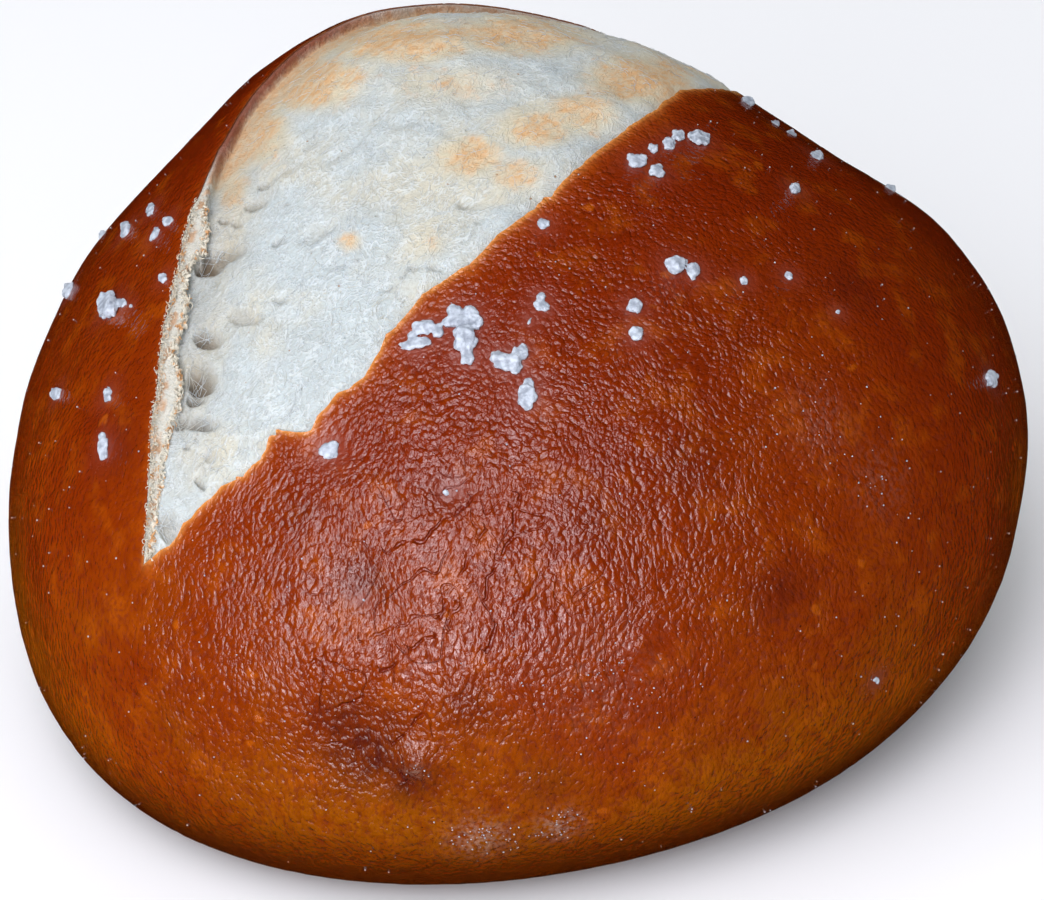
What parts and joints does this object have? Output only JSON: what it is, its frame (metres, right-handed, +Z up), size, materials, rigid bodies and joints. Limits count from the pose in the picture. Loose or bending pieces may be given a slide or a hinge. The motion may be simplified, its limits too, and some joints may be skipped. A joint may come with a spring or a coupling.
{
  "type": "pretzel roll",
  "caption": "Round salted pretzel roll, whole, with a dark glossy crust on a flat sole and one long cut over the top that has opened to show pale crumb.",
  "frame": {"origin": "middle of the roll's bounding box on the plane of its flat sole", "axes": "+Z up, at right angles to the flat sole; +X along the cut, from the tip of the cut that the picture shows to the far one; +Y towards the deeper, torn lip of the cut"},
  "size_m": [0.0971, 0.0982, 0.0612],
  "materials": {
    "baked_crust": "semi-gloss dark mahogany bread crust",
    "open_crumb": "matt off-white crumb of the opened cut, toasted in places",
    "coarse_salt": "dull white pressed salt grains"
  },
  "bodies": {
    "root": {"pretzel_roll": "baked_crust"}
  },
  "joints": []
}
